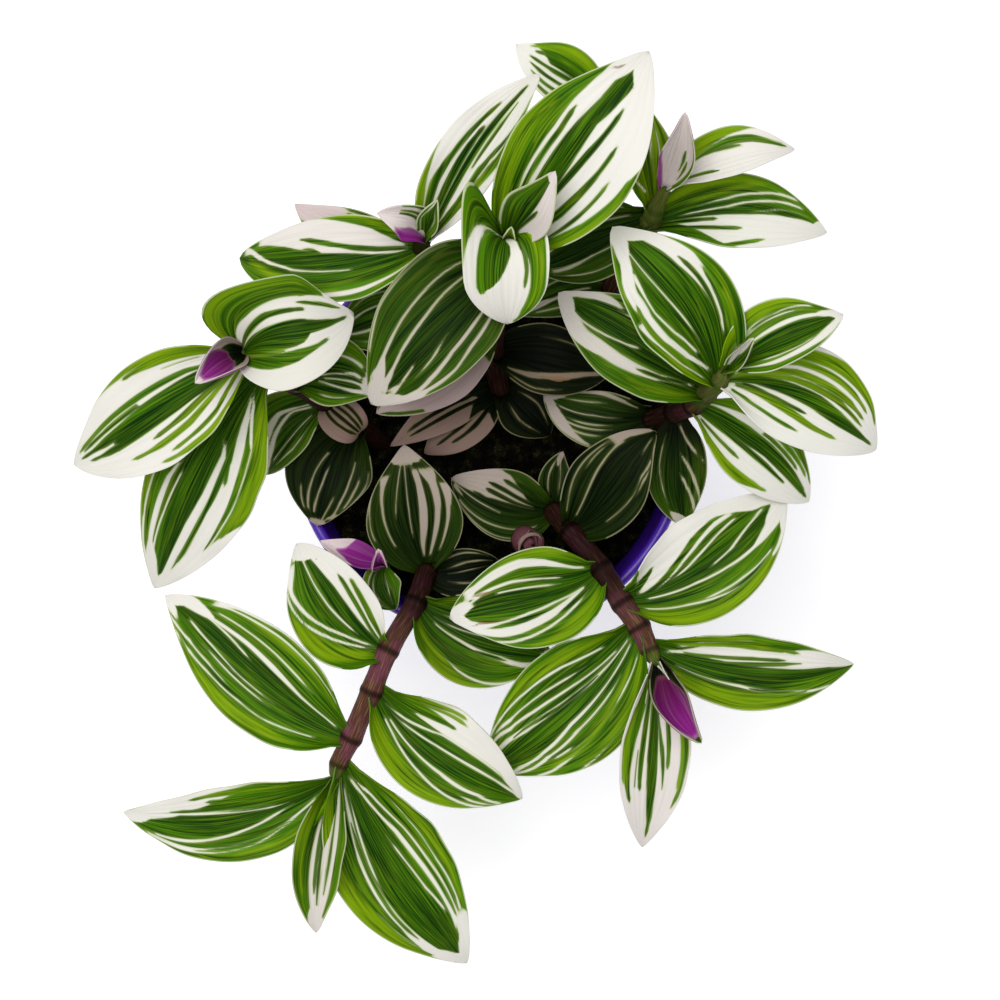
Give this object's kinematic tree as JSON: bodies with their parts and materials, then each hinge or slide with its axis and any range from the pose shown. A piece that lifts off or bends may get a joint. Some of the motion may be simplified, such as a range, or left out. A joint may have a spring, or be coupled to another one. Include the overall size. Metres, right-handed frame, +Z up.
{
  "type": "potted tradescantia",
  "caption": "Potted trailing tradescantia: leafy shoots with pointed, striped leaves clasping thick stems, in dark soil in a round plastic pot with a rolled rim.",
  "frame": {"origin": "centre of the pot's flat base", "axes": "+Z up, -Y towards the side that the two long front shoots hang over, +X to the right seen from there"},
  "size_m": [0.2352, 0.274, 0.1904],
  "materials": {
    "pot_plastic": "moulded, slightly glossy",
    "potting_soil": "loose, matt and dark",
    "leaf": "satin leaf with pale stripes"
  },
  "bodies": {
    "root": {"pot": "pot_plastic", "soil": "potting_soil", "front_left_shoot": "leaf", "front_sprig_shoot": "leaf", "front_right_shoot": "leaf", "centre_bud_shoot": "leaf", "left_shoot": "leaf", "back_left_shoot": "leaf", "back_shoot": "leaf", "back_low_shoot": "leaf", "back_right_shoot": "leaf", "right_shoot": "leaf"}
  },
  "joints": []
}
